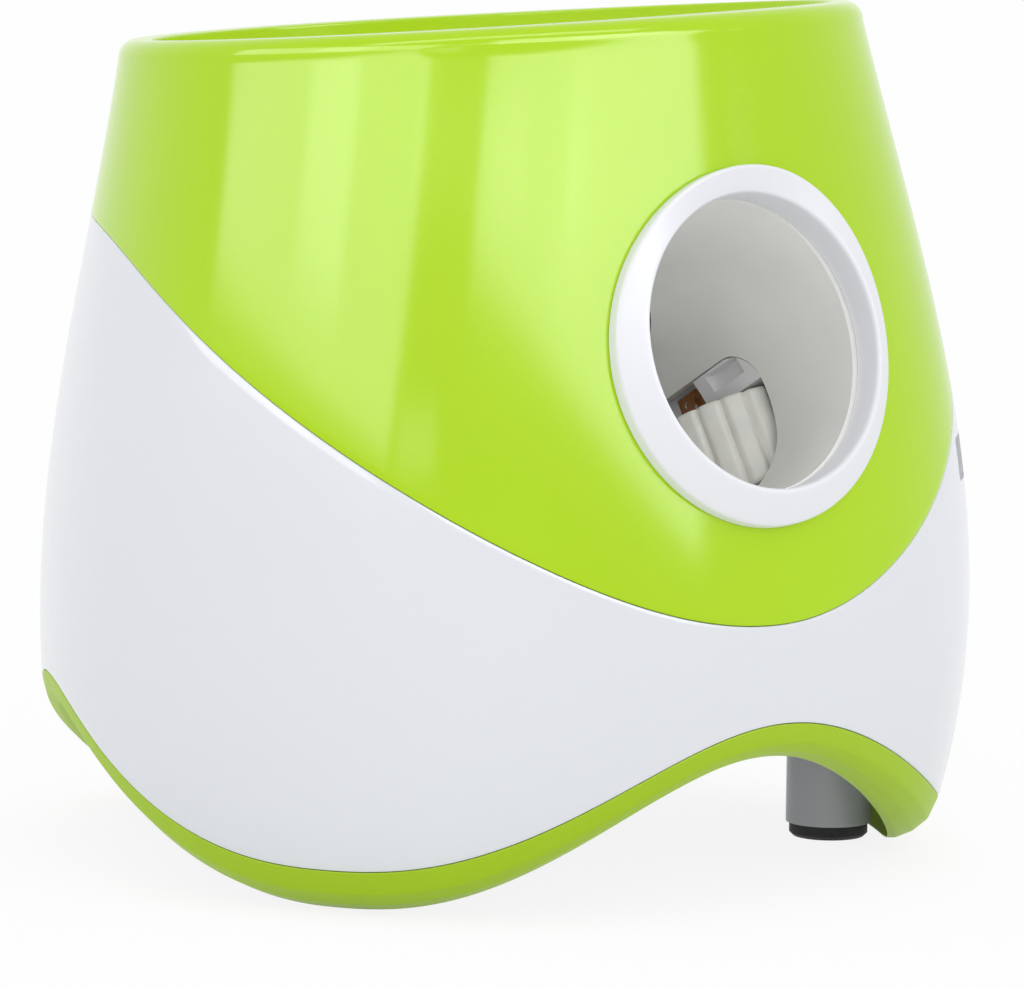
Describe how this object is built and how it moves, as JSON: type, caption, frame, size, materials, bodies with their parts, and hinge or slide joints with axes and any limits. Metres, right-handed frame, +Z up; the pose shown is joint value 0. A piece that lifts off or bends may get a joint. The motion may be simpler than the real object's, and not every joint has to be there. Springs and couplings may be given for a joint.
{
  "type": "automatic dog ball launcher",
  "caption": "Automatic ball launcher for small dogs: open hopper, sloping launch tube with flywheels, rotary ball feed and a round mouth in a tapered two-tone body on arched feet.",
  "frame": {"origin": "middle of the footprint box at floor level, under the body", "axes": "+Z up, -Y towards the mouth (front), +X to the side with the power inlet"},
  "size_m": [0.26, 0.2654, 0.2392],
  "materials": {
    "base_white": "fine matt",
    "board_brown": "laminate",
    "board_green": "solder mask",
    "bowl_white": "satin",
    "box_white": "matt",
    "bracket_grey": "matt",
    "button_dark": "matt",
    "button_green": "matt",
    "cell_wrap": "satin wrap",
    "frame_grey": "matt",
    "gear_plastic": "satin",
    "hub_plastic": "matt",
    "inlet_black": "fine matt",
    "lens_amber": "clear tinted",
    "motor_steel": "satin",
    "pad_rubber": "matt",
    "panel_grey": "satin",
    "pinion_brass": "satin",
    "ring_white": "satin gloss",
    "screw_steel": "satin",
    "shaft_steel": "ground",
    "shell_green": "gloss",
    "shell_white": "gloss",
    "socket_dark": "satin",
    "spring_steel": "satin",
    "star_plastic": "satin",
    "tread_rubber": "matt",
    "trim_green": "gloss",
    "tube_grey": "satin"
  },
  "bodies": {
    "housing": {"upper_shell": "shell_green", "lower_shell": "shell_white", "base_trim": "trim_green", "base_plate": "base_white", "foot_pads": "pad_rubber", "base_screws": "screw_steel", "hopper_bowl": "bowl_white", "mouth_ring": "ring_white", "launch_tube": "tube_grey", "drive_frame": "frame_grey", "frame_screws": "screw_steel", "bearing_bracket_right": "bracket_grey", "bearing_bracket_left": "bracket_grey", "bracket_screws": "screw_steel", "wheel_bearings": "shaft_steel", "wheel_motor_right": "motor_steel", "wheel_motor_left": "motor_steel", "motor_screws": "screw_steel", "feed_motor": "motor_steel", "feed_motor_bracket": "bracket_grey", "shaft_blocks": "bracket_grey", "block_screws": "screw_steel", "battery_box": "box_white", "battery_cells": "cell_wrap", "battery_contacts": "spring_steel", "battery_door": "base_white", "door_screws": "screw_steel", "main_board": "board_green", "control_panel": "panel_grey", "control_board": "board_green", "indicator_lenses": "lens_amber", "inlet_plate": "inlet_black", "inlet_socket": "socket_dark", "sensor_board": "board_brown"},
    "right_flywheel": {"flywheel_hub_right": "hub_plastic", "flywheel_tread_right": "tread_rubber", "wheel_shaft_right": "shaft_steel"},
    "left_flywheel": {"flywheel_hub_left": "hub_plastic", "flywheel_tread_left": "tread_rubber", "wheel_shaft_left": "shaft_steel"},
    "feeder": {"feed_star": "star_plastic", "feed_shaft": "shaft_steel", "feed_gear": "gear_plastic"},
    "drive_pinion": {"feed_pinion": "pinion_brass", "pinion_shaft": "shaft_steel"},
    "power_key": {"power_button": "button_dark"},
    "distance_key": {"distance_button": "button_green"}
  },
  "joints": [
    {"name": "right_flywheel_spin", "type": "hinge", "parent": "housing", "child": "right_flywheel", "pos_m": [0.05, -0.05803, 0.10792], "axis": [0, 0.515, 0.8572], "continuous": true},
    {"name": "left_flywheel_spin", "type": "hinge", "parent": "housing", "child": "left_flywheel", "pos_m": [-0.05, -0.05803, 0.10792], "axis": [0, 0.515, 0.8572], "continuous": true},
    {"name": "feeder_turn", "type": "hinge", "parent": "housing", "child": "feeder", "pos_m": [0, -0.056, 0.0647], "axis": [1, 0, 0], "continuous": true},
    {"name": "pinion_turn", "type": "hinge", "parent": "housing", "child": "drive_pinion", "pos_m": [0.046, -0.037, 0.0647], "axis": [1, 0, 0], "continuous": true},
    {"name": "power_press", "type": "slide", "parent": "housing", "child": "power_key", "axis": [0, -0.9872, -0.1595], "range_m": [0, 0.0012], "stiffness_N_per_m": 350},
    {"name": "distance_press", "type": "slide", "parent": "housing", "child": "distance_key", "axis": [0, -0.9872, -0.1595], "range_m": [0, 0.0012], "stiffness_N_per_m": 350}
  ],
  "couplings": [
    {"joint": "pinion_turn", "follows": "feeder_turn", "ratio": -1.7143}
  ]
}
